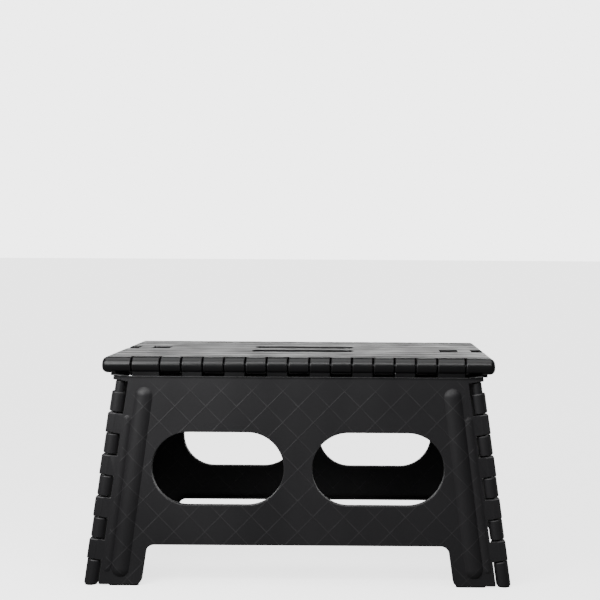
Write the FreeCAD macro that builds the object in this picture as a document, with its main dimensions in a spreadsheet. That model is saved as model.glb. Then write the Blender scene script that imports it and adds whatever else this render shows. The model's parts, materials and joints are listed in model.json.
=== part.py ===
"""A moulded step stool that folds flat: two panels, two hinged end walls and a hinged deck.

Millimetres, +Z up, X along the deck. The origin is on the floor under the middle of the stool.
Every hinge line runs through the same plane at each side, so the frame folds as one linkage:
the middle of the deck rises while the end walls fold inwards between the two panels.
"""
import FreeCAD, Part
import os
import Sketcher

DIMENSIONS = {
    "stand_height": 228.6,
    "deck_half_length": 197.5,
    "side_axis_y": 107,
    "barrel_radius": 8,
    "barrel_pitch": 21.4,
    "wide_barrel": 28.6,
    "barrel_count": 13,
    "knuckle_gap": 1.1,
    "sweep_gap": 0.5,
    "pin_radius": 2.5,
    "slim_pin_radius": 1.5,
    "pin_gap": 0.1,
    "lean_angle": 8,
    "corner_axis_x": 207.6,
    "corner_radius": 7.2,
    "corner_gap": 1,
    "corner_first": 26.3,
    "corner_pitch": 21.25,
    "corner_count": 8,
    "lug_low": 207.4,
    "lug_high": 213.3,
    "neck_radius": 5,
    "wall": 2.7,
    "panel_face": 7,
    "panel_depth": 7.7,
    "panel_top": 210,
    "border_strip": 17,
    "hole_x": 80.4,
    "hole_z": 117.5,
    "hole_length": 132.6,
    "hole_width": 73.1,
    "arch_top": 41,
    "leg_inner_x": 156.9,
    "arch_radius": 9,
    "leg_radius": 6,
    "leg_outer_radius": 1.5,
    "rib_radius": 8.75,
    "rib_height": 3.5,
    "rib_top_x": 154.6,
    "rib_top_z": 190.2,
    "rib_low_x": 177,
    "rib_low_z": 17.5,
    "band_radius": 4.2,
    "band_height": 1.2,
    "band_top_x": 171,
    "band_top_z": 167,
    "band_low_x": 190.2,
    "band_low_z": 17.5,
    "tail_back": 2,
    "tail_front": 4.5,
    "overlap": 0.5,
    "tab_reach": 1.5,
    "bore_run_out": 2,
    "arm_reach": 2,
    "foot_thickness": 1.2,
    "foot_peg": 4,
    "foot_x": 174,
    "foot_length": 30,
    "foot_width": 6.7,
    "peg_clearance": 0.2,
    "end_foot_radius": 6,
    "deck_wall": 3,
    "butt_gap": 0.15,
    "notch_depth": 26,
    "notch_one": 148,
    "notch_two": 168,
    "notch_three": 182,
    "groove_first": 19,
    "groove_pitch": 26,
    "groove_width": 3,
    "groove_depth": 1,
    "groove_inset": 4,
    "hinge_groove_near": 4.5,
    "hinge_groove_far": 6.7,
    "deck_end_round": 5.2,
    "deck_bore_inset": 5,
    "pin_end_play": 0.2,
    "skirt_start": 2,
    "skirt_low": 1,
    "long_rib_first": 11,
    "long_rib_pitch": 24,
    "long_rib_inset": 6,
    "long_rib_depth_0": 12,
    "long_rib_depth_1": 5,
    "long_rib_depth_2": 3,
    "cross_rib_depth": 1,
    "cross_rib_pitch": 46,
    "cross_rib_short": 61,
    "slot_length": 110,
    "slot_width": 26,
    "slot_y": 22.5,
    "stiffener": 2,
    "centre_radius": 4.7,
    "centre_pitch": 20,
    "centre_count": 14,
    "end_plate_inset": 0.3,
    "end_wall": 3,
    "end_top": 204,
    "end_arch": 47,
    "end_leg_low": 93,
    "end_leg_high": 83,
    "border_inner": 42,
    "border_outer": 97,
    "border_height": 3,
    "end_rib_y": 86,
    "end_rib_low_gap": 14,
    "end_rib_top_gap": 15,
    "end_rib_radius": 6,
    "lug_gap": 0.6,
    "neck_overlap": 1,
    "end_bore_low": 10,
    "corner_pin_low": 11,
    "corner_pin_short": 12,
    "run_out": 5,
    "level_reach": 20,
    "end_centre_radius": 4,
    "end_centre_first": 55,
    "end_centre_pitch": 18,
    "end_centre_count": 8,
}

UP = FreeCAD.Vector(0, 0, 1)
ACROSS = FreeCAD.Vector(0, 1, 0)
AXIS_HEIGHT = "(dims.stand_height - dims.barrel_radius)"
LEAN = "(dims.lean_angle * 1 deg)"
BORE = "(dims.pin_radius + dims.pin_gap)"
SLIM_BORE = "(dims.slim_pin_radius + dims.pin_gap)"
CORNER_SWEEP = "(dims.corner_radius + dims.corner_gap)"

doc = FreeCAD.newDocument("step_stool")
dims = doc.addObject("Spreadsheet::Sheet", "dims")
for row, (alias, size) in enumerate(DIMENSIONS.items(), start=1):
    dims.set(f"A{row}", str(size))
    dims.setAlias(f"A{row}", alias)
doc.recompute()


def value(expression):
    """The number that an expression on the sheet comes to."""
    return float(dims.evalExpression(expression))


def minus(expression):
    return f"-({expression})"


def new_body(label, base, rotation):
    body = doc.addObject("PartDesign::Body", label)
    body.Label = label
    body.Placement = FreeCAD.Placement(FreeCAD.Vector(), rotation)
    for letter, expression in zip("xyz", base):
        body.setExpression(f"Placement.Base.{letter}", expression)
    return body


def new_sketch(body, name, role, depth="0", across="0", tilt=0):
    """A sketch on an origin plane, moved along its normal and sideways, then turned in its plane."""
    sketch = body.newObject("Sketcher::SketchObject", name)
    plane = next(feature for feature in body.Origin.OriginFeatures if feature.Role == role)
    sketch.AttachmentSupport = [(plane, "")]
    sketch.MapMode = "FlatFace"
    sketch.AttachmentOffset = FreeCAD.Placement(FreeCAD.Vector(), FreeCAD.Rotation(UP, tilt))
    sketch.setExpression("AttachmentOffset.Base.z", depth)
    sketch.setExpression("AttachmentOffset.Base.x", across)
    return sketch


def hold(sketch, pieces):
    """Adds the constraints, and binds each one that comes with an expression."""
    numbers = sketch.addConstraint([constraint for constraint, _ in pieces])
    for number, (_, expression) in zip(numbers, pieces):
        if expression:
            sketch.setExpression(f"Constraints[{number}]", expression)


def place(kind, edge, point, expression):
    return Sketcher.Constraint(kind, -1, 1, edge, point, value(expression)), expression


def add_loop(sketch, corners):
    """A closed loop of straight edges whose corners are pairs of expressions."""
    first = sketch.GeometryCount
    points = [FreeCAD.Vector(value(x), value(y), 0) for x, y in corners]
    for start, end in zip(points, points[1:] + points[:1]):
        sketch.addGeometry(Part.LineSegment(start, end), False)
    pieces = []
    for number, (x, y) in enumerate(corners):
        before = first + (number - 1) % len(corners)
        pieces.append((Sketcher.Constraint("Coincident", before, 2, first + number, 1), None))
        pieces.append(place("DistanceX", first + number, 1, x))
        pieces.append(place("DistanceY", first + number, 1, y))
    hold(sketch, pieces)


def add_rectangle(sketch, low_x, high_x, low_y, high_y):
    add_loop(sketch, [(low_x, low_y), (high_x, low_y), (high_x, high_y), (low_x, high_y)])


def add_slot(sketch, start, end, radius):
    """A slot with round ends, from one centre to the other."""
    first = sketch.GeometryCount
    a = FreeCAD.Vector(value(start[0]), value(start[1]), 0)
    b = FreeCAD.Vector(value(end[0]), value(end[1]), 0)
    size = value(radius)
    turn = FreeCAD.Vector(1, 0, 0).getAngle(b - a)
    if (b - a).y < 0:
        turn = -turn
    quarter = FreeCAD.Units.parseQuantity("90 deg").getValueAs("rad").Value
    side = FreeCAD.Rotation(UP, 90).multVec(b - a).normalize() * size
    far = Part.ArcOfCircle(Part.Circle(b, UP, size), turn - quarter, turn + quarter)
    near = Part.ArcOfCircle(Part.Circle(a, UP, size), turn + quarter, turn + 3 * quarter)
    for edge in (far, Part.LineSegment(b + side, a + side), near, Part.LineSegment(a - side, b - side)):
        sketch.addGeometry(edge, False)
    pieces = [
        (Sketcher.Constraint("Tangent", first + n, 2, first + (n + 1) % 4, 1), None) for n in range(4)
    ]
    for edge, (x, y) in ((first, end), (first + 2, start)):
        pieces.append(place("DistanceX", edge, 3, x))
        pieces.append(place("DistanceY", edge, 3, y))
    pieces.append((Sketcher.Constraint("Radius", first, size), radius))
    hold(sketch, pieces)


def add_feature(body, kind, name, sketch, **settings):
    feature = body.newObject(f"PartDesign::{kind}", name)
    feature.Profile = sketch
    for setting, expression in settings.items():
        feature.setExpression(setting, expression)
    return feature


def pad(body, name, sketch, length):
    return add_feature(body, "Pad", name, sketch, Length=length)


def pocket_through(body, name, sketch):
    feature = add_feature(body, "Pocket", name, sketch)
    feature.SideType = "Two sides"
    feature.Type = "ThroughAll"
    feature.Type2 = "ThroughAll"
    return feature


def turned(body, kind, name, sketch, axis="H_Axis"):
    """A Revolution or Groove a full turn about one of the sketch's own axes."""
    feature = add_feature(body, kind, name, sketch)
    feature.ReferenceAxis = (sketch, [axis])
    feature.Angle = 360
    return feature


def fillet_at(body, name, places, radius, along=1):
    """Rounds the edges along one axis (0 X, 1 Y, 2 Z) that pass through the given places."""
    doc.recompute()
    base = body.Tip
    names = []
    for number, edge in enumerate(base.Shape.Edges, start=1):
        flat = [edge.CenterOfMass[n] for n in range(3) if n != along]
        if edge.Curve.TypeId != "Part::GeomLine":
            continue
        if any(abs(flat[0] - x) + abs(flat[1] - y) < 0.05 for x, y in places):
            names.append(f"Edge{number}")
    feature = body.newObject("PartDesign::Fillet", name)
    feature.Base = (base, names)
    feature.setExpression("Radius", radius)


def round_face_edges(body, name, axis, level, radius):
    """Rounds every edge that lies in the plane at a level along one axis."""
    doc.recompute()
    base = body.Tip
    names = []
    for number, edge in enumerate(base.Shape.Edges, start=1):
        if all(abs(point[axis] - level) < 0.01 for point in edge.discretize(5)):
            names.append(f"Edge{number}")
    feature = body.newObject("PartDesign::Fillet", name)
    feature.Base = (base, names)
    feature.setExpression("Radius", radius)


def spans(first, pitch, numbers):
    """The stretches of a hinge line that its knuckles with these numbers take, less their gaps."""
    half = "dims.knuckle_gap / 2"
    return [
        (f"{first} + {n} * {pitch} + {half}", f"{first} + {n + 1} * {pitch} - {half}") for n in numbers
    ]


def side_spans(parity):
    """The narrow knuckles along a side hinge: the deck has the even ones, the panel the odd ones."""
    first = "(-dims.barrel_count * dims.barrel_pitch / 2)"
    return spans(first, "dims.barrel_pitch", range(parity, DIMENSIONS["barrel_count"], 2))


def mirrored(low, high):
    return [(low, high), (minus(high), minus(low))]


def corner_spans_from(parity):
    """The stretches of a corner hinge that every second knuckle takes, from knuckle 0 or 1 up."""
    return spans("dims.corner_first", "dims.corner_pitch", range(parity, CORNER_LAST, 2))


CORNER_LAST = DIMENSIONS["corner_count"] // 2 * 2
CORNER_TOP = "dims.corner_first + dims.corner_count * dims.corner_pitch"
PANEL_CORNER_SPANS = corner_spans_from(0)
PEG_HEIGHT = "dims.foot_thickness + dims.foot_peg - dims.peg_clearance"
LONG_RIBS = 3
CROSS_RIBS = 4
GROOVES = 3
NARROW_END = "(dims.barrel_count * dims.barrel_pitch / 2)"
WIDE_END = f"({NARROW_END} + dims.wide_barrel)"
WIDE_SPAN = (f"{NARROW_END} + dims.knuckle_gap / 2", f"{WIDE_END} - dims.knuckle_gap / 2")
DECK_END_SPAN = (f"{WIDE_END} + dims.knuckle_gap / 2", "dims.deck_half_length")


def axis_x(z):
    """How far out the leaning corner hinge is at a height."""
    return f"(dims.corner_axis_x - ({z}) * tan({LEAN}))"


def panel(label, base, rotation):
    """A long side panel: a shell with a rim round its arch, its holes and its feet."""
    body = new_body(label, base, rotation)
    edge = f"{CORNER_SWEEP} / cos({LEAN})"
    low, top = "dims.foot_thickness", "dims.panel_top"
    out_low, out_top = f"{axis_x(low)} - {edge}", f"{axis_x(top)} - {edge}"
    leg_low = f"dims.leg_inner_x - {low} * tan({LEAN})"
    leg_top = f"dims.leg_inner_x - dims.arch_top * tan({LEAN})"
    outline = new_sketch(body, f"{label}_outline", "XZ_Plane", "dims.panel_face - dims.panel_depth")
    right = [(leg_top, "dims.arch_top"), (leg_low, low), (out_low, low), (out_top, top)]
    add_loop(outline, right + [(minus(x), z) for x, z in reversed(right)])
    reach = "(dims.hole_length - dims.hole_width) / 2"
    for side in ("", "-"):
        centre = f"{side}dims.hole_x"
        ends = [(f"{centre} - {reach}", "dims.hole_z"), (f"{centre} + {reach}", "dims.hole_z")]
        add_slot(outline, *ends, "dims.hole_width / 2")
    pad(body, f"{label}_block", outline, "dims.panel_depth")
    arch_corners = [(value(leg_top), value("dims.arch_top"))]
    for name, corners, radius in (
        ("arch_round", arch_corners, "dims.arch_radius"),
        ("leg_round", [(value(leg_low), value(low))], "dims.leg_radius"),
    ):
        fillet_at(body, f"{label}_{name}", corners + [(-x, z) for x, z in corners], radius)
    doc.recompute()
    solid = body.Tip
    back = value("dims.panel_depth - dims.panel_face")
    faces = [
        f"Face{n}" for n, face in enumerate(solid.Shape.Faces, start=1)
        if abs(face.CenterOfMass.y - back) < 0.01
    ]
    shell = body.newObject("PartDesign::Thickness", f"{label}_shell")
    shell.Base = (solid, faces)
    shell.setExpression("Value", "dims.wall")
    shell.Reversed = True
    # The end walls fold in beside the slanted borders, so those carry no rim.
    strip = new_sketch(body, f"{label}_strip", "XZ_Plane", "dims.wall - dims.panel_face")
    strip.setExpression("AttachmentOffset.Base.z", "dims.panel_face - dims.panel_depth")
    for side in ("", "-"):
        near = [f"{side}({axis_x(z)} - dims.border_strip)" for z in ("0", "dims.stand_height")]
        far = [f"{side}({axis_x(z)} + dims.border_strip)" for z in ("0", "dims.stand_height")]
        tall = "dims.stand_height"
        add_loop(strip, [(near[0], "-1"), (far[0], "-1"), (far[1], tall), (near[1], tall)])
    cut = add_feature(body, "Pocket", f"{label}_strip_cut", strip, Length="dims.panel_depth - dims.wall")
    cut.Reversed = True
    toes = [(sign * value(out_low), value(low)) for sign in (1, -1)]
    fillet_at(body, f"{label}_toe_round", toes, "dims.leg_outer_radius")
    # Knuckles of the deck hinge, each on a tail set back from the face of the panel.
    tails = new_sketch(body, f"{label}_tails", "XZ_Plane", "dims.tail_back")
    barrels = new_sketch(body, f"{label}_barrels", "XZ_Plane")
    barrels.setExpression("AttachmentOffset.Base.y", AXIS_HEIGHT)
    for low_x, high_x in side_spans(1) + mirrored(*WIDE_SPAN):
        add_rectangle(tails, low_x, high_x, "dims.panel_top - dims.overlap", AXIS_HEIGHT)
        add_rectangle(barrels, low_x, high_x, "0", "dims.barrel_radius")
    pad(body, f"{label}_tail_pad", tails, "dims.tail_front - dims.tail_back")
    turned(body, "Revolution", f"{label}_barrel", barrels)
    bore = new_sketch(body, f"{label}_deck_bore", "XZ_Plane")
    bore.setExpression("AttachmentOffset.Base.y", AXIS_HEIGHT)
    add_rectangle(bore, minus(WIDE_END), WIDE_END, "0", BORE)
    turned(body, "Groove", f"{label}_deck_bore_cut", bore)
    # Knuckles of the two leaning corner hinges, square outside and round inside.
    corner_spans = PANEL_CORNER_SPANS + [("dims.lug_low", "dims.lug_high")]
    for side, name in ((1, "right"), (-1, "left")):
        across = f"{side} * dims.corner_axis_x"
        tilt = side * DIMENSIONS["lean_angle"]
        place_at = ("XZ_Plane", "0", across, tilt)
        flush = new_sketch(body, f"{label}_{name}_flush", *place_at)
        tabs = new_sketch(
            body, f"{label}_{name}_tabs", "XZ_Plane", "dims.panel_face - dims.wall", across, tilt
        )
        rounds = new_sketch(body, f"{label}_{name}_rounds", *place_at)
        holes = new_sketch(body, f"{label}_{name}_bore", *place_at)
        for low_w, high_w in corner_spans:
            add_rectangle(flush, "-dims.corner_radius", "dims.corner_radius", low_w, high_w)
            ends = sorted(["0", f"{-side} * ({CORNER_SWEEP} + dims.tab_reach)"], key=value)
            add_rectangle(tabs, *ends, low_w, high_w)
            add_rectangle(rounds, "0", "dims.corner_radius", low_w, high_w)
        add_rectangle(holes, "0", BORE, "dims.corner_first", "dims.lug_high + dims.bore_run_out")
        pad(body, f"{label}_{name}_flush_pad", flush, "dims.panel_face")
        pad(body, f"{label}_{name}_tab_pad", tabs, "dims.wall")
        turned(body, "Revolution", f"{label}_{name}_round", rounds, "V_Axis")
        turned(body, "Groove", f"{label}_{name}_bore_cut", holes, "V_Axis")
    # Raised ribs beside the slanted borders, and a lower band between each rib and its border.
    for side, name in ((1, "right"), (-1, "left")):
        dome_rib(body, f"{label}_rib_{name}", side, "dims.rib")
        dome_rib(body, f"{label}_band_{name}", side, "dims.band")
    pegs = new_sketch(body, f"{label}_peg_holes", "XY_Plane")
    for side in (1, -1):
        add_peg(pegs, f"{side} * dims.foot_x", "(dims.panel_depth - 2 * dims.panel_face) / 2")
    peg_top = "dims.foot_thickness + dims.foot_peg"
    cut = add_feature(body, "Pocket", f"{label}_peg_cut", pegs, Length=peg_top)
    cut.Reversed = True
    return body


def add_dome(sketch, kind, half):
    """A raised rib's section: a shallow arc on a foot sunk into the panel. half keeps X above 0."""
    reach, height = f"{kind}_radius", f"{kind}_height"
    face = "(-dims.panel_face)"
    sunk = f"({face} + dims.wall / 2)"
    crown = f"({face} - {height})"
    centre = f"({face} + ({reach} ^ 2 - {height} ^ 2) / (2 * {height}))"
    start = ("0", crown) if half else (minus(reach), face)
    corners = [start, (reach, face), (reach, sunk), (start[0], sunk)]
    points = [FreeCAD.Vector(value(x), value(y), 0) for x, y in corners]
    middle = FreeCAD.Vector(0, value(centre), 0)
    radius = (points[1] - middle).Length
    angles = [-FreeCAD.Vector(1, 0, 0).getAngle(point - middle) for point in points[:2]]
    arc = Part.ArcOfCircle(Part.Circle(middle, UP, radius), angles[0], angles[1])
    sketch.addGeometry(arc, False)
    for a, b in ((1, 2), (2, 3), (3, 0)):
        sketch.addGeometry(Part.LineSegment(points[a], points[b]), False)
    pieces = [(Sketcher.Constraint("Coincident", n, 2, (n + 1) % 4, 1), None) for n in range(4)]
    for edge, (x, y) in enumerate(corners):
        pieces.append(place("DistanceX", edge, 1, x))
        pieces.append(place("DistanceY", edge, 1, y))
    pieces.append(place("DistanceY", 0, 3, centre))
    hold(sketch, pieces)


def dome_rib(body, name, side, kind):
    """A raised rib of shallow arc section beside a slanted border, with a dome at each end."""
    low_x, low_z = f"{side} * {kind}_low_x", f"{kind}_low_z"
    top_x, top_z = f"{side} * {kind}_top_x", f"{kind}_top_z"
    low = FreeCAD.Vector(value(low_x), 0, value(low_z))
    top = FreeCAD.Vector(value(top_x), 0, value(top_z))
    section = new_sketch(body, f"{name}_section", "XY_Plane", low_z, low_x)
    section.AttachmentOffset = FreeCAD.Placement(low, FreeCAD.Rotation(UP, top - low))
    add_dome(section, kind, False)
    pad(body, f"{name}_length", section, f"sqrt(({low_x} - {top_x}) ^ 2 + ({top_z} - {low_z}) ^ 2)")
    for end, x, z in (("low", low_x, low_z), ("top", top_x, top_z)):
        cap = new_sketch(body, f"{name}_{end}", "XY_Plane", z, x)
        add_dome(cap, kind, True)
        turned(body, "Revolution", f"{name}_{end}_cap", cap, "V_Axis")


def add_peg(sketch, x, y):
    """A circle for a foot's peg or its hole."""
    number = sketch.addGeometry(
        Part.Circle(FreeCAD.Vector(value(x), value(y), 0), UP, value("dims.slim_pin_radius")), False
    )
    round_edge = Sketcher.Constraint("Radius", number, value("dims.slim_pin_radius"))
    hold(sketch, [
        place("DistanceX", number, 3, x),
        place("DistanceY", number, 3, y),
        (round_edge, "dims.slim_pin_radius"),
    ])


def deck(label, base, rotation):
    """A deck half from its side hinge to the middle, ribbed below and grooved on top."""
    body = new_body(label, base, rotation)
    middle = "dims.side_axis_y"
    edge = f"({middle} - dims.butt_gap)"
    under = "dims.barrel_radius - dims.deck_wall"
    inner = f"({edge} - dims.notch_depth)"
    outline = new_sketch(body, f"{label}_outline", "XY_Plane", under)
    add_loop(outline, [
        ("-dims.deck_half_length", "0"),
        ("dims.deck_half_length", "0"),
        ("dims.deck_half_length", inner),
        ("dims.notch_three", inner),
        ("dims.notch_three", edge),
        ("dims.notch_two", edge),
        ("dims.notch_two", inner),
        ("dims.notch_one", inner),
        ("dims.notch_one", edge),
        ("-dims.deck_half_length", edge),
    ])
    slot_reach = "(dims.slot_length - dims.slot_width) / 2"
    slot_y = f"{middle} - dims.slot_y"
    add_slot(outline, (minus(slot_reach), slot_y), (slot_reach, slot_y), "dims.slot_width / 2")
    pad(body, f"{label}_plate", outline, "dims.deck_wall")
    # Long and short ribs below the plate, and a skirt at each end.
    ribs = new_sketch(body, f"{label}_ribs", "XY_Plane", "dims.skirt_low")
    thick = "dims.stiffener"
    far_x = "dims.deck_half_length"
    add_rectangle(ribs, f"-{far_x}", f"-{far_x} + {thick}", "dims.skirt_start", edge)
    add_rectangle(ribs, f"{far_x} - {thick}", far_x, "dims.skirt_start", inner)
    pad(body, f"{label}_skirt_pad", ribs, f"{under} - dims.skirt_low")
    rib_reach = f"({far_x} - dims.long_rib_inset)"
    for number in range(LONG_RIBS):
        depth = f"dims.long_rib_depth_{number}"
        long_rib = new_sketch(body, f"{label}_long_rib_{number}", "XY_Plane", f"-{depth}")
        low_y = f"dims.long_rib_first + {number} * dims.long_rib_pitch"
        add_rectangle(long_rib, minus(rib_reach), rib_reach, low_y, f"{low_y} + {thick}")
        pad(body, f"{label}_long_rib_pad_{number}", long_rib, f"{under} + {depth}")
    cross_ribs = new_sketch(body, f"{label}_cross_ribs", "XY_Plane", "-dims.cross_rib_depth")
    for number in range(-CROSS_RIBS, CROSS_RIBS + 1):
        low_x = f"{number} * dims.cross_rib_pitch - {thick} / 2"
        beside_slot = abs(number) < 2
        high_y = "dims.cross_rib_short" if beside_slot else f"{inner} - dims.cross_rib_depth"
        add_rectangle(cross_ribs, low_x, f"{low_x} + {thick}", "dims.long_rib_first", high_y)
    pad(body, f"{label}_cross_rib_pad", cross_ribs, f"{under} + dims.cross_rib_depth")
    # The side hinge: full barrels at the ends, narrow knuckles between the panel's.
    barrels = new_sketch(body, f"{label}_barrels", "XY_Plane")
    webs = new_sketch(body, f"{label}_webs", "XY_Plane")
    own = side_spans(0) + mirrored(*DECK_END_SPAN)
    for low_x, high_x in own:
        add_rectangle(barrels, low_x, high_x, "0", "dims.barrel_radius")
        add_rectangle(webs, low_x, high_x, "0", "dims.barrel_radius")
    turned(body, "Revolution", f"{label}_barrel", barrels)
    pad(body, f"{label}_web_pad", webs, "dims.barrel_radius")
    sweeps = new_sketch(body, f"{label}_sweeps", "XY_Plane")
    sweep_radius = "dims.barrel_radius + dims.sweep_gap"
    for low_x, high_x in side_spans(1) + mirrored(*WIDE_SPAN):
        stretch = (f"{low_x} - dims.knuckle_gap", f"{high_x} + dims.knuckle_gap")
        add_rectangle(sweeps, *stretch, "0", sweep_radius)
    turned(body, "Groove", f"{label}_sweep_cut", sweeps)
    round_deck_ends(body, label)
    bore = new_sketch(body, f"{label}_bore", "XY_Plane")
    bore_start = f"-{far_x} + dims.deck_bore_inset"
    add_rectangle(bore, bore_start, f"{far_x} + dims.run_out", "0", BORE)
    turned(body, "Groove", f"{label}_bore_cut", bore)
    # The middle hinge hangs below the plate.
    centre_first = "(-dims.centre_count * dims.centre_pitch / 2)"
    centre_spans = spans(centre_first, "dims.centre_pitch", range(0, DIMENSIONS["centre_count"], 2))
    centre = new_sketch(body, f"{label}_centre", "XY_Plane")
    centre.setExpression("AttachmentOffset.Base.y", middle)
    hangers = new_sketch(body, f"{label}_hangers", "XY_Plane")
    for low_x, high_x in centre_spans:
        add_rectangle(centre, low_x, high_x, "0", "dims.centre_radius")
        add_rectangle(hangers, low_x, high_x, f"{middle} - dims.centre_radius", edge)
    turned(body, "Revolution", f"{label}_centre_barrel", centre)
    pad(body, f"{label}_hanger_pad", hangers, under)
    centre_bore = new_sketch(body, f"{label}_centre_bore", "XY_Plane")
    centre_bore.setExpression("AttachmentOffset.Base.y", middle)
    reach = "(dims.centre_count * dims.centre_pitch / 2)"
    add_rectangle(centre_bore, minus(reach), reach, "0", SLIM_BORE)
    turned(body, "Groove", f"{label}_centre_bore_cut", centre_bore)
    grooves = new_sketch(body, f"{label}_grooves", "XY_Plane", "dims.barrel_radius")
    full_reach = f"({far_x} + dims.run_out)"
    near_far = ("dims.hinge_groove_near", "dims.hinge_groove_far")
    add_rectangle(grooves, minus(full_reach), full_reach, *near_far)
    groove_reach = f"({far_x} - dims.groove_inset)"
    for number in range(GROOVES):
        low_y = f"dims.groove_first + {number} * dims.groove_pitch"
        high_y = f"{low_y} + dims.groove_width"
        add_rectangle(grooves, minus(groove_reach), groove_reach, low_y, high_y)
    add_feature(body, "Pocket", f"{label}_groove_cut", grooves, Length="dims.groove_depth")
    return body


def round_deck_ends(body, label):
    """Rounds the two outer ends of the side barrel."""
    doc.recompute()
    base = body.Tip
    reach = value("dims.deck_half_length")
    names = []
    for number, edge in enumerate(base.Shape.Edges, start=1):
        if edge.Curve.TypeId != "Part::GeomCircle":
            continue
        at_end = abs(abs(edge.BoundBox.Center.x) - reach) < 0.01 and edge.BoundBox.XLength < 0.01
        if at_end and abs(edge.Curve.Radius - value("dims.barrel_radius")) < 0.01:
            names.append(f"Edge{number}")
    feature = body.newObject("PartDesign::Fillet", f"{label}_end_round")
    feature.Base = (base, names)
    feature.setExpression("Radius", "dims.deck_end_round")


def end_half(label, base, rotation, side):
    """Half an end wall, in the leaning frame of its hinges. side is its corner's sign along Y."""
    body = new_body(label, base, rotation)
    corner_y = f"({side} * dims.side_axis_y)"
    plate = new_sketch(body, f"{label}_outline", "YZ_Plane", "dims.end_plate_inset")
    edge = f"{side} * dims.butt_gap"
    add_loop(plate, [
        (edge, "dims.end_arch"),
        (f"{side} * dims.end_leg_high", "dims.end_arch"),
        (f"{side} * dims.end_leg_low", "0"),
        (corner_y, "0"),
        (corner_y, "dims.end_top"),
        (edge, "dims.end_top"),
    ])
    pad(body, f"{label}_plate", plate, "dims.end_wall")
    # Outer border strips stay shallow towards the middle, where the halves fold face to face.
    border = new_sketch(body, f"{label}_border", "YZ_Plane", "-dims.border_height")
    inner_y = f"{side} * dims.border_inner"
    outer_y = f"{side} * dims.border_outer"
    arch_y = f"{side} * dims.end_leg_high"
    add_rectangle(border, inner_y, outer_y, "dims.end_top - dims.wall", "dims.end_top")
    add_rectangle(border, inner_y, arch_y, "dims.end_arch", "dims.end_arch + dims.wall")
    sunk = "dims.end_plate_inset + dims.overlap"
    pad(body, f"{label}_border_pad", border, f"dims.border_height + {sunk}")
    rib = new_sketch(body, f"{label}_rib", "YZ_Plane", "-dims.rib_height")
    rib_y = f"{side} * dims.end_rib_y"
    rib_ends = ("dims.end_arch + dims.end_rib_low_gap", "dims.end_top - dims.end_rib_top_gap")
    add_slot(rib, *[(rib_y, z) for z in rib_ends], "dims.end_rib_radius")
    pad(body, f"{label}_rib_pad", rib, f"dims.rib_height + {sunk}")
    rounding = "dims.rib_height - dims.overlap"
    round_face_edges(body, f"{label}_rib_round", 0, value("-dims.rib_height"), rounding)
    # Corner knuckles between the panel's, and a slimmer neck above them.
    corner = new_sketch(body, f"{label}_corner", "YZ_Plane")
    corner.setExpression("AttachmentOffset.Base.x", corner_y)
    radius = "dims.corner_radius"
    corner_spans = [("0", "dims.corner_first - dims.knuckle_gap / 2")]
    corner_spans += corner_spans_from(1)
    for low_w, high_w in corner_spans:
        add_rectangle(corner, "0", radius, low_w, high_w)
    neck = new_sketch(body, f"{label}_neck", "YZ_Plane")
    neck.setExpression("AttachmentOffset.Base.x", corner_y)
    last = f"{CORNER_TOP} - dims.knuckle_gap / 2 - dims.neck_overlap"
    add_rectangle(neck, "0", "dims.neck_radius", last, "dims.lug_low - dims.lug_gap")
    turned(body, "Revolution", f"{label}_corner_barrel", corner, "V_Axis")
    turned(body, "Revolution", f"{label}_neck_barrel", neck, "V_Axis")
    sweep = new_sketch(body, f"{label}_sweep", "YZ_Plane")
    sweep.setExpression("AttachmentOffset.Base.x", corner_y)
    for low_w, high_w in PANEL_CORNER_SPANS:
        stretch = (f"{low_w} - dims.knuckle_gap", f"{high_w} + dims.knuckle_gap")
        add_rectangle(sweep, "0", CORNER_SWEEP, *stretch)
    turned(body, "Groove", f"{label}_sweep_cut", sweep, "V_Axis")
    bore = new_sketch(body, f"{label}_bore", "YZ_Plane")
    bore.setExpression("AttachmentOffset.Base.x", corner_y)
    add_rectangle(bore, "0", BORE, "dims.end_bore_low", "dims.lug_high")
    turned(body, "Groove", f"{label}_bore_cut", bore, "V_Axis")
    peg = new_sketch(body, f"{label}_peg_hole", "YZ_Plane")
    peg.setExpression("AttachmentOffset.Base.x", corner_y)
    peg_top = "dims.foot_thickness + dims.foot_peg"
    add_rectangle(peg, "0", "dims.slim_pin_radius", "-dims.run_out", peg_top)
    turned(body, "Groove", f"{label}_peg_cut", peg, "V_Axis")
    # The middle hinge: this half has every second knuckle and clears the others.
    numbers = range(0, DIMENSIONS["end_centre_count"])
    mine = spans("dims.end_centre_first", "dims.end_centre_pitch", numbers[(side + 1) // 2 :: 2])
    theirs = spans("dims.end_centre_first", "dims.end_centre_pitch", numbers[(1 - side) // 2 :: 2])
    cuts = new_sketch(body, f"{label}_centre_sweep", "YZ_Plane")
    clear = "dims.end_centre_radius + dims.sweep_gap"
    for low_w, high_w in theirs:
        stretch = (f"{low_w} - dims.knuckle_gap", f"{high_w} + dims.knuckle_gap")
        add_rectangle(cuts, "0", clear, *stretch)
    turned(body, "Groove", f"{label}_centre_sweep_cut", cuts, "V_Axis")
    centre = new_sketch(body, f"{label}_centre", "YZ_Plane")
    arms = new_sketch(body, f"{label}_arms", "YZ_Plane", "dims.end_plate_inset")
    for low_w, high_w in mine:
        add_rectangle(centre, "0", "dims.end_centre_radius", low_w, high_w)
        add_rectangle(arms, edge, f"{side} * (dims.end_centre_radius + dims.arm_reach)", low_w, high_w)
    turned(body, "Revolution", f"{label}_centre_barrel", centre, "V_Axis")
    pad(body, f"{label}_arm_pad", arms, "dims.end_wall")
    slim = new_sketch(body, f"{label}_centre_bore", "YZ_Plane")
    top = "dims.end_centre_first + dims.end_centre_count * dims.end_centre_pitch"
    add_rectangle(slim, "0", SLIM_BORE, "dims.end_centre_first", top)
    turned(body, "Groove", f"{label}_centre_bore_cut", slim, "V_Axis")
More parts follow.
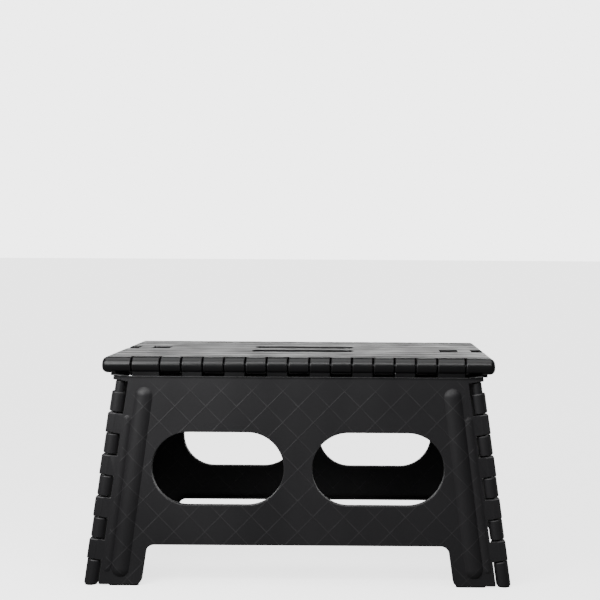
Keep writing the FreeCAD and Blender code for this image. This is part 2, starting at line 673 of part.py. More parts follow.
    # A level cut leaves room for the rubber foot.
    level = new_sketch(body, f"{label}_level", "XZ_Plane")
    sides = ("-dims.level_reach", "dims.level_reach")
    ends = [(x, f"(dims.foot_thickness + {x} * sin({LEAN})) / cos({LEAN})") for x in sides]
    add_loop(level, [(x, sides[0]) for x in sides] + ends[::-1])
    pocket_through(body, f"{label}_level_cut", level)
    return body


def pin(label, base, rotation, radius, length):
    """A plain steel pin along its own Z."""
    rod = doc.addObject("Part::Cylinder", label)
    rod.Label = label
    rod.Placement = FreeCAD.Placement(FreeCAD.Vector(), rotation)
    rod.setExpression("Radius", radius)
    rod.setExpression("Height", length)
    for letter, expression in zip("xyz", base):
        rod.setExpression(f"Placement.Base.{letter}", expression)
    return rod


def panel_foot(label, x, y):
    """A rubber pad under a leg of a panel, with a peg up into it."""
    body = new_body(label, (x, y, "0"), FreeCAD.Rotation())
    outline = new_sketch(body, f"{label}_outline", "XY_Plane")
    reach = "(dims.foot_length - dims.foot_width) / 2"
    add_slot(outline, (minus(reach), "0"), (reach, "0"), "dims.foot_width / 2")
    pad(body, f"{label}_pad", outline, "dims.foot_thickness")
    peg = new_sketch(body, f"{label}_peg", "XY_Plane")
    add_peg(peg, "0", "0")
    pad(body, f"{label}_peg_pad", peg, PEG_HEIGHT)
    return body


def end_foot(label, x, y, rotation):
    """A rubber disc under a corner knuckle, with a peg that leans with the hinge."""
    disc = doc.addObject("Part::Cylinder", f"{label}_disc")
    disc.setExpression("Radius", "dims.end_foot_radius")
    disc.setExpression("Height", "dims.foot_thickness")
    peg = doc.addObject("Part::Cylinder", f"{label}_peg")
    peg.Placement = FreeCAD.Placement(FreeCAD.Vector(), rotation)
    peg.setExpression("Radius", "dims.slim_pin_radius")
    peg.setExpression("Height", PEG_HEIGHT)
    for piece in (disc, peg):
        piece.setExpression("Placement.Base.x", x)
        piece.setExpression("Placement.Base.y", y)
    whole = doc.addObject("Part::MultiFuse", f"{label}_whole")
    whole.Shapes = [disc, peg]
    level = doc.addObject("Part::Box", f"{label}_level")
    for side in ("Length", "Width", "Height"):
        level.setExpression(side, "4 * dims.end_foot_radius")
    level.setExpression("Placement.Base.x", f"{x} - 2 * dims.end_foot_radius")
    level.setExpression("Placement.Base.y", f"{y} - 2 * dims.end_foot_radius")
    foot = doc.addObject("Part::MultiCommon", label)
    foot.Label = label
    foot.Shapes = [whole, level]
    return foot


NO_TURN = FreeCAD.Rotation()
HALF_TURN = FreeCAD.Rotation(UP, 180)
ALONG = FreeCAD.Rotation(ACROSS, 90)
LEFT_LEAN = FreeCAD.Rotation(ACROSS, DIMENSIONS["lean_angle"])
RIGHT_LEAN = HALF_TURN * LEFT_LEAN
SIDE = "dims.side_axis_y"
nodes = [
    panel("front_panel", ("0", minus(SIDE), "0"), NO_TURN),
    panel("back_panel", ("0", SIDE, "0"), HALF_TURN),
    deck("deck_front", ("0", minus(SIDE), AXIS_HEIGHT), NO_TURN),
    deck("deck_back", ("0", SIDE, AXIS_HEIGHT), HALF_TURN),
    end_half("end_left_front", ("-dims.corner_axis_x", "0", "0"), LEFT_LEAN, -1),
    end_half("end_left_back", ("-dims.corner_axis_x", "0", "0"), LEFT_LEAN, 1),
    end_half("end_right_front", ("dims.corner_axis_x", "0", "0"), RIGHT_LEAN, 1),
    end_half("end_right_back", ("dims.corner_axis_x", "0", "0"), RIGHT_LEAN, -1),
]
# Each long pin starts at the bottom of the blind bore in its own deck half.
pin_short = "(dims.deck_bore_inset + dims.pin_end_play)"
pin_past = "(2 * dims.pin_end_play + dims.peg_clearance * 2)"
for name, side, low_x in (
    ("front", "-", f"-dims.deck_half_length + {pin_short}"),
    ("back", "", f"-dims.deck_half_length + {pin_past}"),
):
    nodes.append(pin(
        f"deck_pin_{name}", (low_x, f"{side}{SIDE}", AXIS_HEIGHT), ALONG, "dims.pin_radius",
        f"2 * dims.deck_half_length - {pin_short} - {pin_past}",
    ))
centre_reach = "(dims.centre_count * dims.centre_pitch / 2)"
nodes.append(pin(
    "deck_pin_centre", (minus(centre_reach), "0", AXIS_HEIGHT), ALONG,
    "dims.slim_pin_radius", f"2 * {centre_reach}",
))
for across, lean, sign in (("left", LEFT_LEAN, "-"), ("right", RIGHT_LEAN, "")):
    base_x = f"{sign}(dims.corner_axis_x - dims.corner_pin_low * sin({LEAN}))"
    base_z = f"dims.corner_pin_low * cos({LEAN})"
    for along, side in (("front", "-"), ("back", "")):
        nodes.append(pin(
            f"corner_pin_{across}_{along}", (base_x, f"{side}{SIDE}", base_z), lean,
            "dims.pin_radius", "dims.lug_high - dims.corner_pin_short",
        ))
        foot_x = f"{sign}dims.corner_axis_x"
        nodes.append(end_foot(f"end_foot_{across}_{along}", foot_x, f"{side}{SIDE}", lean))
        inward = "(dims.panel_depth - 2 * dims.panel_face) / 2"
        foot_y = f"-{SIDE} + {inward}" if along == "front" else f"{SIDE} - {inward}"
        nodes.append(panel_foot(f"panel_foot_{across}_{along}", f"{sign}dims.foot_x", foot_y))
    low_w = "dims.end_centre_first"
    base = (f"{sign}(dims.corner_axis_x - {low_w} * sin({LEAN}))", "0", f"{low_w} * cos({LEAN})")
    nodes.append(pin(
        f"end_pin_{across}", base, lean, "dims.slim_pin_radius",
        "dims.end_centre_count * dims.end_centre_pitch",
    ))

doc.recompute()
faults = [
    item.Name for item in doc.Objects if "Invalid" in item.State or "Error" in item.State
]
faults += [node.Label for node in nodes if node.Shape.isNull() or not node.Shape.isValid()]
if faults:
    raise RuntimeError(f"these objects failed: {faults}")
os.makedirs("parts", exist_ok=True)
for node in nodes:
    box = node.Shape.BoundBox
    print(node.Label, len(node.Shape.Solids), round(node.Shape.Volume), [round(v, 1) for v in (
        box.XMin, box.XMax, box.YMin, box.YMax, box.ZMin, box.ZMax)])
    node.Shape.exportStep(f"parts/{node.Label}.step")
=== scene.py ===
# %% [markdown]
# # A folding step stool in moulded black plastic
#
# The stool is eight plastic mouldings on steel wire pins, with rubber feet. The frame that is
# loaded first holds every part at its true size and place, so the work here is the finish:
# softened edges, the quilted lines on the walls, the grain of the plastic, and the light.

# %% Load the frame and keep its box
import json
import math
import bpy
import bmesh
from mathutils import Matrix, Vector


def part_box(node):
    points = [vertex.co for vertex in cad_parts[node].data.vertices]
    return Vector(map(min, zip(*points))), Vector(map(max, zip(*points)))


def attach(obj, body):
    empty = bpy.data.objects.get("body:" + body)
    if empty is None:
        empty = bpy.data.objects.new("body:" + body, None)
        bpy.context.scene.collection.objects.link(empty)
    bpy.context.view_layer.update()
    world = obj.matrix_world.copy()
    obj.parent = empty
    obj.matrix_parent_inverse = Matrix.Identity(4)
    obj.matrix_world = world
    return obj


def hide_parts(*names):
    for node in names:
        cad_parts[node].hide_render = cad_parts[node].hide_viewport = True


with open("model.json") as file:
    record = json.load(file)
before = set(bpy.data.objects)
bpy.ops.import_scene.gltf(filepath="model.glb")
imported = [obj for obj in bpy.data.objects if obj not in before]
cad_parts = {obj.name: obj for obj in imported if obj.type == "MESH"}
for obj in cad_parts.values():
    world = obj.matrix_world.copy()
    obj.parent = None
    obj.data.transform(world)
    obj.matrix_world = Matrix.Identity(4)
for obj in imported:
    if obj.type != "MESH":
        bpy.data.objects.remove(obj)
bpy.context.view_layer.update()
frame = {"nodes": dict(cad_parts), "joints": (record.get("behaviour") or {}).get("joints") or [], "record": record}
nodes = frame["nodes"]
record = frame["record"]
joints = {joint["name"]: joint for joint in frame["joints"]}
MM = 0.001

# %% [markdown]
# ## Camera
#
# A product shot is taken from far off with a long lens, so that the near and far walls differ
# little in size. The camera here looks level along the depth of the stool from a little above the
# deck. It isn't aimed down at the stool: the lens is shifted instead, which keeps upright lines
# upright, as a photographer's shift lens does.

# %% Camera
CAMERA_DISTANCE = 1.173  # from the front of the deck's side hinge
CAMERA_ACROSS = 0.058
CAMERA_HEIGHT = 0.334
CAMERA_LEAN = -0.0065  # the stool sits a little lower to the right
CAMERA_LENS = 70.4  # in mm, on a film 36 mm wide
FILM_WIDTH = 36
SHIFT_ACROSS = -0.0953
SHIFT_DOWN = -0.0777

hinge_front_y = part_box("deck_front")[0][1]
camera_data = bpy.data.cameras.new("camera")
camera_data.sensor_width = FILM_WIDTH
camera_data.lens = CAMERA_LENS
camera_data.shift_x = SHIFT_ACROSS
camera_data.shift_y = SHIFT_DOWN
camera = bpy.data.objects.new("camera", camera_data)
camera.location = (CAMERA_ACROSS, hinge_front_y - CAMERA_DISTANCE, CAMERA_HEIGHT)
camera.rotation_euler = (math.radians(90), CAMERA_LEAN, 0)
bpy.context.scene.collection.objects.link(camera)
bpy.context.scene.camera = camera
print("camera at", tuple(round(v, 3) for v in camera.location))

# %% [markdown]
# ## Floor and light
#
# Black plastic shows its shape only by what it reflects. A bright backdrop stands behind the
# stool: the deck, seen at a grazing angle, mirrors it and turns light, while the upright walls
# face the dimmer side of the studio and stay dark. A soft overhead lamp on the camera's side draws
# the highlight along the round hinge, and a weaker one from the left shapes the raised ribs. The
# backdrop could be a lit sheet, but a world whose brightness depends on direction does the same
# with less noise.

# %% Floor and light
BACKDROP = 3.3  # low behind the stool
CEILING = 2.2  # overhead
ROOM = 0.05  # everywhere else above the floor
BOUNCE = 0.1  # what the floor sends back up
FLOOR_GLOW = 2.4  # a lit floor, as on a light table
SWEEP_SEEN = 4.2  # what the eye sees beyond the floor
WHITE = (1, 1, 1, 1)
FLOOR_PAINT = (0.92, 0.92, 0.92, 1)
FLOOR_ROUGHNESS = 0.9
FLOOR_RADIUS = 60


def new_mesh_object(name, mesh):
    piece = bpy.data.objects.new(name, mesh)
    bpy.context.scene.collection.objects.link(piece)
    return piece


def make_floor():
    bm = bmesh.new()
    bmesh.ops.create_circle(bm, cap_ends=True, segments=64, radius=FLOOR_RADIUS)
    mesh = bpy.data.meshes.new("floor")
    bm.to_mesh(mesh)
    bm.free()
    plane = new_mesh_object("floor", mesh)
    paint = bpy.data.materials.new("floor")
    paint.use_nodes = True
    shader = paint.node_tree.nodes["Principled BSDF"]
    shader.inputs["Base Color"].default_value = FLOOR_PAINT
    shader.inputs["Roughness"].default_value = FLOOR_ROUGHNESS
    shader.inputs["Emission Color"].default_value = WHITE
    shader.inputs["Emission Strength"].default_value = FLOOR_GLOW
    mesh.materials.append(paint)
    plane.visible_diffuse = False
    plane.visible_glossy = False


# %% The studio around the stool
# Each pair is where a part of the world starts and where it is full, by direction.
LOW_DOWN = (0.24, 0.08)
ABOVE_FLOOR = (-0.04, 0.0)
BELOW_FLOOR = (0.0, -0.1)
BEHIND = (0.1, 0.6)
OVERHEAD = (0.75, 0.95)


def make_world():
    """A dim room with a bright ceiling and a bright backdrop low behind the stool."""
    world = bpy.data.worlds.new("studio")
    world.use_nodes = True
    tree = world.node_tree
    nodes_in, join = tree.nodes, tree.links.new
    place = nodes_in.new("ShaderNodeTexCoord")
    split = nodes_in.new("ShaderNodeSeparateXYZ")
    join(place.outputs["Generated"], split.inputs["Vector"])

    def step(value, low, high):
        """Rises smoothly from 0 to 1 as the value goes from low to high."""
        ramp = nodes_in.new("ShaderNodeMapRange")
        ramp.interpolation_type = "SMOOTHSTEP"
        ramp.inputs["From Min"].default_value = low
        ramp.inputs["From Max"].default_value = high
        join(value, ramp.inputs["Value"])
        return ramp.outputs["Result"]

    def maths(kind, first, second):
        node = nodes_in.new("ShaderNodeMath")
        node.operation = kind
        join(first, node.inputs[0])
        if isinstance(second, float):
            node.inputs[1].default_value = second
        else:
            join(second, node.inputs[1])
        return node.outputs["Value"]

    low_down = step(split.outputs["Z"], *LOW_DOWN)
    above_floor = step(split.outputs["Z"], *ABOVE_FLOOR)
    below_floor = step(split.outputs["Z"], *BELOW_FLOOR)
    behind = step(split.outputs["Y"], *BEHIND)
    overhead = step(split.outputs["Z"], *OVERHEAD)
    sheet = maths("MULTIPLY", maths("MULTIPLY", low_down, above_floor), behind)
    backdrop = maths("MULTIPLY", sheet, BACKDROP)
    ceiling = maths("MULTIPLY", overhead, CEILING)
    bounce = maths("MULTIPLY", below_floor, BOUNCE)
    total = maths("ADD", maths("ADD", maths("ADD", backdrop, ceiling), bounce), ROOM)
    reflected = nodes_in["Background"]
    reflected.inputs["Color"].default_value = WHITE
    join(total, reflected.inputs["Strength"])
    seen = nodes_in.new("ShaderNodeBackground")
    seen.inputs["Color"].default_value = WHITE
    seen.inputs["Strength"].default_value = SWEEP_SEEN
    eye = nodes_in.new("ShaderNodeLightPath")
    pick = nodes_in.new("ShaderNodeMixShader")
    join(eye.outputs["Is Camera Ray"], pick.inputs["Fac"])
    join(reflected.outputs["Background"], pick.inputs[1])
    join(seen.outputs["Background"], pick.inputs[2])
    join(pick.outputs["Shader"], nodes_in["World Output"].inputs["Surface"])
    bpy.context.scene.world = world


make_floor()
make_world()
print("floor and world")


# %% Two lamps
def area_lamp(name, place, target, size, power):
    data = bpy.data.lights.new(name, "AREA")
    data.shape = "RECTANGLE"
    data.size, data.size_y = size
    data.energy = power
    lamp = bpy.data.objects.new(name, data)
    lamp.location = place
    lamp.visible_camera = False
    aim = Vector(target) - Vector(place)
    lamp.rotation_euler = aim.to_track_quat("-Z", "Y").to_euler()
    bpy.context.scene.collection.objects.link(lamp)


# Each lamp's place, the point it looks at, its size in metres, and its power in watts.
LAMPS = {
    "key": ((-0.1, -0.49, 0.57), (-0.1, -0.1, 0.2), (0.9, 0.14), 3.2),
    "side": ((-0.42, -0.55, 0.42), (0, -0.1, 0.15), (0.5, 0.2), 3.0),
}
for name, setting in LAMPS.items():
    area_lamp(name, *setting)
print(len(LAMPS), "lamps")

# %% [markdown]
# ## Softened mouldings
#
# No moulded edge is sharp: the tool leaves a small radius, and that radius catches the light. A
# Bevel modifier could do it, but it would also round the inner corners, where the mould is crisp,
# so the bevel here is an operator on chosen edges. The loose triangles of the frame's mesh are
# merged, flat faces are dissolved into whole ones, and each outer edge is then bevelled. The hinge
# knuckles get a larger radius than the rims and ribs.

# %% Softened mouldings
SHARP = math.radians(35)
EDGE_RADIUS = 0.6 * MM
KNUCKLE_RADIUS = 1.3 * MM
DECK_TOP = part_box("deck_front")[1][2]
MERGE_DISTANCE = 0.005 * MM
FLAT = math.radians(0.6)


def merged_copy(node):
    """The node's own shape as one clean surface, with flat faces whole."""
    bm = bmesh.new()
    bm.from_mesh(nodes[node].data)
    bmesh.ops.remove_doubles(bm, verts=bm.verts, dist=MERGE_DISTANCE)
    bmesh.ops.dissolve_limit(bm, angle_limit=FLAT, verts=bm.verts, edges=bm.edges)
    bm.verts.layers.float.new("wear_and_highlight")
    return bm


def keep_inside(bm):
    """Holds points under the deck's top, where a bevel that meets a curved edge can overshoot."""
    for vert in bm.verts:
        vert.co.z = min(vert.co.z, DECK_TOP)


def soften(bm, radius, chosen):
    """Rounds the sharp outer edges that are chosen."""
    edges = [
        edge for edge in bm.edges
        if edge.is_manifold and edge.is_convex
        and edge.calc_face_angle(0) > SHARP and chosen(edge)
    ]
    made = bmesh.ops.bevel(
        bm, geom=edges, offset=radius, offset_type="OFFSET", affect="EDGES", segments=4,
        profile=0.5, clamp_overlap=False, material=-1,
    )
    keep_inside(bm)
    # The new rounds are marked for a lighter colour, which is partly wear and partly a painted highlight.
    rounded = set(made["faces"])
    worn_and_lit = bm.verts.layers.float["wear_and_highlight"]
    for vert in made["verts"]:
        if rounded.issuperset(vert.link_faces):
            vert[worn_and_lit] = 1


# %% Which edges belong to hinge knuckles
def away_from(axis_name, side=1):
    """A function that gives a point's distance from a hinge's axis.

    With a side of -1 it is the hinge that lies opposite, across the end wall's middle hinge.
    """
    joint = joints[axis_name]
    x, y, z = joint["pos_m"]
    origin = Vector((x, y * side, z))
    along = Vector(joint["axis"]).normalized()

    def distance(point):
        ray = point - origin
        return (ray - along * ray.dot(along)).length

    return distance


def on_barrel(edge, distances, low, high):
    """Whether both ends of an edge lie on a hinge's outer round, so between two radii."""
    return any(all(low < far(vert.co) < high for vert in edge.verts) for far in distances)


corner_names = ("left_front_corner", "right_front_corner")
hinges = [away_from("fold"), away_from("deck_back_side")]
hinges += [away_from(name, side) for side in (1, -1) for name in corner_names]
PIN_ZONE = 3.0 * MM
KNUCKLE_ZONE = 10.5 * MM


def near_hinge(edge):
    return on_barrel(edge, hinges, PIN_ZONE, KNUCKLE_ZONE)


print(len(hinges), "hinges with rounded knuckles")


# %% [markdown]
# ## Quilted lines
#
# The long panels carry a diamond pattern of fine raised lines, which stiffens the sheet and hides
# scuffs. A bump texture could draw it, but the lines cross the raised ribs and catch the light, so
# they are cut in as geometry: each line is three cuts through the face, and the middle one is then
# lifted into a low ridge.

# %% Quilted lines
QUILT_WIDTH = 1.3 * MM
QUILT_RISE = 0.14 * MM
QUILT_CREASE = math.radians(12)
QUILT_TOP = 207.2 * MM
CORNER_MARGIN = 11.5 * MM
QUILT_PITCH_X = 30.9 * MM
QUILT_PITCH_Z = 31.4 * MM
QUILT_MIDDLE_Z = 179.9 * MM
FACES_OUTWARD = 0.75  # how far a face may lean and still be quilted
CUT_DISTANCE = 0.002 * MM
ON_LINE = 0.01 * MM


def cut_through(bm, faces, point, across):
    """Cuts the faces along a plane, without taking anything away."""
    geometry = [*faces, *{edge for face in faces for edge in face.edges}]
    geometry += list({vert for face in faces for vert in face.verts})
    bmesh.ops.bisect_plane(
        bm, geom=geometry, dist=CUT_DISTANCE, plane_co=point, plane_no=across,
    )


def quilt(bm, outward, limits, place_x, place_z, reach_x, reach_z):
    """Raises crossed lines on the faces that look along outward, inside the limiting planes."""
    chosen = bm.faces.layers.int.new("quilted")

    def turned_outward():
        return [face for face in bm.faces if face.normal.dot(outward) > FACES_OUTWARD]

    for point, across in limits:
        cut_through(bm, turned_outward(), point, across)
    for face in turned_outward():
        middle = face.calc_center_median()
        face[chosen] = int(all((middle - point).dot(across) > 0 for point, across in limits))
    ridges = []
    for slope in (1, -1):
        across = Vector((QUILT_PITCH_Z * slope, 0, QUILT_PITCH_X)).normalized()
        step = QUILT_PITCH_X * across.x * slope
        count = int((reach_x * abs(across.x) + reach_z * abs(across.z)) / step) + 1
        middle = Vector((place_x, 0, place_z))
        for number in range(-count, count + 1):
            line = middle + across * (number * step)
            for shift in (-QUILT_WIDTH / 2, QUILT_WIDTH / 2, 0):
                inside = [face for face in bm.faces if face[chosen]]
                cut_through(bm, inside, line + across * shift, across)
            ridges.append((line, across))
    worn_and_lit = bm.verts.layers.float["wear_and_highlight"]
    for vert in bm.verts:
        if not all(face[chosen] for face in vert.link_faces):
            continue
        if any(abs((vert.co - line).dot(across)) < ON_LINE for line, across in ridges):
            vert.co += outward * QUILT_RISE
            # Ridge points get the same mark: their lighter colour is partly wear and partly a painted highlight.
            vert[worn_and_lit] = 1
            for face in vert.link_faces:
                face[chosen] = 2
    bm.normal_update()
    for edge in bm.edges:
        kinds = [face[chosen] for face in edge.link_faces]
        if 2 in kinds and edge.calc_face_angle(0) > QUILT_CREASE:
            edge.smooth = False
    bm.faces.layers.int.remove(chosen)
    return len(ridges)


# %% [markdown]
# ## Putting each moulding together
#
# Each moulding is copied from its own part in the frame, so its size and place are right from the
# start. Its edges are rounded and, on a long wall, both faces are quilted. The piece then stands
# in for that part and moves with its body. Weighted normals keep the flat faces looking flat
# beside the narrow bevels, which more subdivision would also do, at many more faces.

# %% Mouldings
FLAT_FACE_WEIGHT = 100
BODY_OF = {
    name: body for body, names in record["behaviour"]["bodies"].items() for name in names
}


def finish_piece(bm, node):
    """Makes the piece of a bmesh, and stands it for its node."""
    name = f"{node}_moulding"
    for face in bm.faces:
        face.smooth = True
    for edge in bm.edges:
        if edge.calc_face_angle(0) > SHARP:
            edge.smooth = False
    mesh = bpy.data.meshes.new(name)
    bm.to_mesh(mesh)
    bm.free()
    piece = new_mesh_object(name, mesh)
    weighted = piece.modifiers.new("even shading", "WEIGHTED_NORMAL")
    weighted.keep_sharp = True
    weighted.weight = FLAT_FACE_WEIGHT
    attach(piece, BODY_OF[node])
    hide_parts(node)
    print(name, len(mesh.polygons), "faces")
    return piece


def wall_limits():
    """The planes that bound the quilting: under the deck's hinge, and inside the corner hinges."""
    limits = [(Vector((0, 0, QUILT_TOP)), Vector((0, 0, -1)))]
    for name in corner_names:
        hinge = Vector(joints[name]["pos_m"])
        inward = Vector(joints[name]["axis"]).cross(Vector((0, 1, 0))).normalized()
        if inward.dot(-hinge) < 0:
            inward = -inward
        limits.append((hinge + inward * CORNER_MARGIN, inward))
    return limits


def softened(node):
    """A node's shape with its knuckles and its other outer edges rounded."""
    bm = merged_copy(node)
    soften(bm, KNUCKLE_RADIUS, near_hinge)
    soften(bm, EDGE_RADIUS, lambda edge: not near_hinge(edge))
    return bm


wall_pieces = []
for node, outward in (("front_panel", -1), ("back_panel", 1)):
    bm = softened(node)
    high_x, _, high_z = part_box(node)[1]
    for facing in (outward, -outward):
        face_way = Vector((0, facing, 0))
        lines = quilt(bm, face_way, wall_limits(), 0, QUILT_MIDDLE_Z, high_x, high_z)
    print(node, "has", lines, "quilted lines on each face")
    wall_pieces.append(finish_piece(bm, node))

# %% Deck halves and end walls
deck_pieces = [finish_piece(softened(node), node) for node in ("deck_front", "deck_back")]
for node in ("end_left_front", "end_left_back", "end_right_front", "end_right_back"):
    wall_pieces.append(finish_piece(softened(node), node))
print(len(wall_pieces), "walls and", len(deck_pieces), "deck halves")

# %% [markdown]
# ## Black polypropylene
#
# Polypropylene is a waxy plastic: nearly black, with a soft gloss and a very fine grain from the
# spark-eroded mould. The deck is smoother and worn glossier than the walls. The deck and the hinge
# barrels are also coloured darker than the walls, and that darker colour is painted shade. Edges and
# raised lines take a lighter colour in patches, which is partly wear and partly a painted highlight.
# Real plastic is never even, so the roughness drifts a little over a few centimetres, and the flow of
# the melt leaves faint streaks.

# %% Black polypropylene
SHEEN = 0.4
BARRELS_START = 208 * MM  # the hinge barrels are polished and painted a darker shade, the walls below them are grained
WALL_DARK = (0.0125, 0.0122, 0.0135)
WALL_LIGHT = (0.0195, 0.0188, 0.0205)
# The barrel colours are darker than the wall colours only as painted shade: it is one plastic.
BARREL_PAINTED_SHADE_DARK = (0.005, 0.005, 0.0055)
BARREL_PAINTED_SHADE_LIGHT = (0.008, 0.008, 0.0088)
# A lighter colour on marked edges and raised lines: partly wear, partly a painted highlight.
RUBBED_AND_LIT_EDGE = (0.04, 0.039, 0.041)
WALL_ROUGHNESS = 0.52
POLISHED_ROUGHNESS = 0.33
GRAIN_HEIGHT = 0.06 * MM
DOWN_THE_WALL = (1, 1, 0.35)
MOULD_LINES = (1.6, 1.6, 0.06)


def black_plastic(name, polish_and_shade_above):
    """Near-black plastic: grained up to a height, and polished with painted shade from there up."""
    material = bpy.data.materials.new(name)
    material.use_nodes = True
    tree = material.node_tree
    nodes_in, join = tree.nodes, tree.links.new
    shader = nodes_in["Principled BSDF"]
    shader.inputs["Specular IOR Level"].default_value = SHEEN
    place = nodes_in.new("ShaderNodeTexCoord")

    def noise(scale, detail, stretch=(1, 1, 1)):
        mapping = nodes_in.new("ShaderNodeMapping")
        mapping.inputs["Scale"].default_value = stretch
        texture = nodes_in.new("ShaderNodeTexNoise")
        texture.inputs["Scale"].default_value = scale
        texture.inputs["Detail"].default_value = detail
        join(place.outputs["Object"], mapping.inputs["Vector"])
        join(mapping.outputs["Vector"], texture.inputs["Vector"])
        return texture.outputs["Fac"]

    def between(value, low, high, start, end):
        ramp = nodes_in.new("ShaderNodeMapRange")
        sockets = ("From Min", "From Max", "To Min", "To Max")
        for socket, number in zip(sockets, (low, high, start, end)):
            ramp.inputs[socket].default_value = number
        join(value, ramp.inputs["Value"])
        return ramp.outputs["Result"]

    def maths(kind, first, second):
        node = nodes_in.new("ShaderNodeMath")
        node.operation = kind
        for socket, value in zip(node.inputs, (first, second)):
            if isinstance(value, (int, float)):
                socket.default_value = value
            else:
                join(value, socket)
        return node.outputs["Value"]

    def blend(amount, first, second):
        node = nodes_in.new("ShaderNodeMix")
        node.data_type = "RGBA"
        join(amount, node.inputs["Factor"])
        for socket, value in ((node.inputs[6], first), (node.inputs[7], second)):
            if isinstance(value, tuple):
                socket.default_value = (*value, 1)
            else:
                join(value, socket)
        return node.outputs[2]

    split = nodes_in.new("ShaderNodeSeparateXYZ")
    join(place.outputs["Object"], split.inputs["Vector"])
    # Above this height the surface is polished, and its colour is also darkened there as painted shade.
    smooth = between(split.outputs["Z"], polish_and_shade_above - MM, polish_and_shade_above + MM, 0, 1)
    wear_and_highlight_mark = nodes_in.new("ShaderNodeAttribute")
    wear_and_highlight_mark.attribute_name = "wear_and_highlight"
    patchy = between(noise(60, 4), 0.35, 0.65, 0.35, 1)
    # Marked edges and ridges turn lighter in patches, partly wear and partly a painted highlight, less on polished
    # parts.
    rubbed_and_lit = maths("MULTIPLY", wear_and_highlight_mark.outputs["Fac"], patchy)
    wear_and_highlight = maths("MULTIPLY", rubbed_and_lit, between(smooth, 0, 1, 1, 0.25))

    drift = between(noise(7, 3), 0.3, 0.7, 0, 1)
    walls = blend(drift, WALL_DARK, WALL_LIGHT)
    # The barrels take the darker colour: painted shade, standing in for the shade they fall into.
    barrels = blend(drift, BARREL_PAINTED_SHADE_DARK, BARREL_PAINTED_SHADE_LIGHT)
    plain = blend(smooth, walls, barrels)
    join(blend(wear_and_highlight, plain, RUBBED_AND_LIT_EDGE), shader.inputs["Base Color"])

    streaks = between(noise(30, 5, DOWN_THE_WALL), 0.3, 0.7, -0.05, 0.06)
    surface = between(smooth, 0, 1, WALL_ROUGHNESS, POLISHED_ROUGHNESS)
    worn_down = maths("MULTIPLY", wear_and_highlight, -0.08)
    join(maths("ADD", maths("ADD", surface, streaks), worn_down), shader.inputs["Roughness"])

    grain = maths("ADD", noise(1900, 2), noise(900, 2, MOULD_LINES))
    bump = nodes_in.new("ShaderNodeBump")
    bump.inputs["Distance"].default_value = GRAIN_HEIGHT
    join(between(smooth, 0, 1, 0.5, 0.12), bump.inputs["Strength"])
    join(grain, bump.inputs["Height"])
    join(bump.outputs["Normal"], shader.inputs["Normal"])
    return material


# On the walls above the barrels' height, and all over the deck, the darker colour is painted shade.
wall_finish_and_shade = black_plastic("black_wall_plastic_shaded_barrels", polish_and_shade_above=BARRELS_START)
deck_finish_and_shade = black_plastic("black_deck_plastic_painted_shade", polish_and_shade_above=0)
for pieces, finish in ((wall_pieces, wall_finish_and_shade), (deck_pieces, deck_finish_and_shade)):
    for piece in pieces:
        piece.data.materials.append(finish)
print("finishes:", wall_finish_and_shade.name, deck_finish_and_shade.name)

# %% [markdown]
# ## Steel pins and rubber feet
#
# The hinge pins are drawn steel wire, coloured near black so that they do not shine in the gaps
# between the knuckles: the dark colour is painted shade. Drawing leaves fine scratches along the
# wire, so the noise is stretched along the pin. The feet are soft rubber, dull and a little dusty.
# Both keep the shape that the frame gives them, and only take a new finish. One function makes
# both, because wire and rubber differ here only in their numbers.

# %% Steel pins and rubber feet
TINT_STOPS = (0.35, 0.65)
SCRATCH_STRENGTH = 0.4


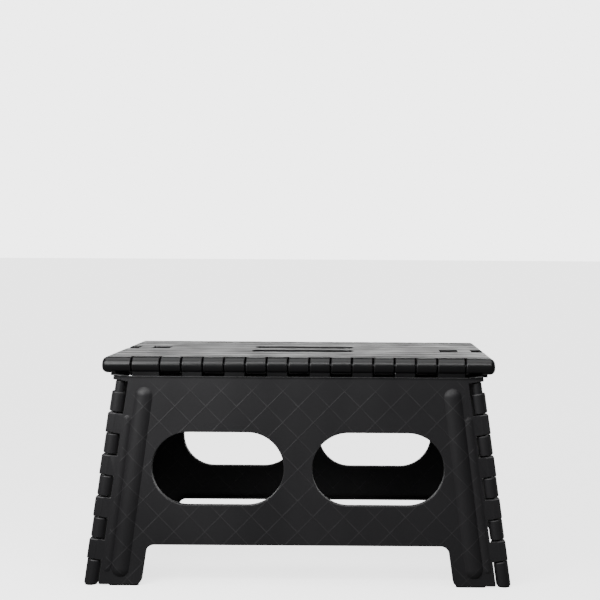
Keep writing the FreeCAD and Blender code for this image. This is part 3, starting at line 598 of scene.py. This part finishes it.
def noisy_finish(name, stretch, scale, dark, light, roughness, metallic, bump_height):
    """A finish whose colour and roughness follow one stretched noise."""
    material = bpy.data.materials.new(name)
    material.use_nodes = True
    tree = material.node_tree
    shader = tree.nodes["Principled BSDF"]
    shader.inputs["Metallic"].default_value = metallic
    place = tree.nodes.new("ShaderNodeTexCoord")
    mapping = tree.nodes.new("ShaderNodeMapping")
    mapping.inputs["Scale"].default_value = stretch
    texture = tree.nodes.new("ShaderNodeTexNoise")
    texture.inputs["Scale"].default_value = scale
    texture.inputs["Detail"].default_value = 4
    tree.links.new(place.outputs["Object"], mapping.inputs["Vector"])
    tree.links.new(mapping.outputs["Vector"], texture.inputs["Vector"])
    tint = tree.nodes.new("ShaderNodeValToRGB")
    for stop, position, colour in zip(tint.color_ramp.elements, TINT_STOPS, (dark, light)):
        stop.position = position
        stop.color = (*colour, 1)
    tree.links.new(texture.outputs["Fac"], tint.inputs["Fac"])
    tree.links.new(tint.outputs["Color"], shader.inputs["Base Color"])
    rough = tree.nodes.new("ShaderNodeMapRange")
    rough.inputs["To Min"].default_value, rough.inputs["To Max"].default_value = roughness
    tree.links.new(texture.outputs["Fac"], rough.inputs["Value"])
    tree.links.new(rough.outputs["Result"], shader.inputs["Roughness"])
    bump = tree.nodes.new("ShaderNodeBump")
    bump.inputs["Strength"].default_value = SCRATCH_STRENGTH
    bump.inputs["Distance"].default_value = bump_height
    tree.links.new(texture.outputs["Fac"], bump.inputs["Height"])
    tree.links.new(bump.outputs["Normal"], shader.inputs["Normal"])
    return material


def dress(node, material):
    """Gives a node that keeps its own shape a new finish."""
    for slot in nodes[node].material_slots:
        slot.link = "OBJECT"
        slot.material = material


# %% Each pin and foot takes its finish
ALONG_X, UPRIGHT, ALL_WAYS = (0.03, 1, 1), (1, 1, 0.03), (1, 1, 1)
# The wire's near-black colours are painted shade, so the pins stay dark in the gaps between knuckles.
SHADED_WIRE = {
    "scale": 900,
    "dark": (0.02, 0.02, 0.022),
    "light": (0.05, 0.05, 0.052),
    "roughness": (0.3, 0.5),
    "metallic": 1.0,
    "bump_height": 0.01 * MM,
}
RUBBER = {
    "scale": 700,
    "dark": (0.012, 0.012, 0.012),
    "light": (0.024, 0.023, 0.022),
    "roughness": (0.7, 0.92),
    "metallic": 0.0,
    "bump_height": 0.04 * MM,
}
deck_wire_in_shade = noisy_finish("deck_pin_steel_in_shade", ALONG_X, **SHADED_WIRE)
corner_wire_in_shade = noisy_finish("corner_pin_steel_in_shade", UPRIGHT, **SHADED_WIRE)
rubber = noisy_finish("foot_rubber", ALL_WAYS, **RUBBER)
dressed = []
for node in nodes:
    if node.startswith("deck_pin"):
        dress(node, deck_wire_in_shade)
    elif "_pin_" in node:
        dress(node, corner_wire_in_shade)
    elif "_foot_" in node:
        dress(node, rubber)
    else:
        continue
    dressed.append(node)
print(len(dressed), "pins and feet")
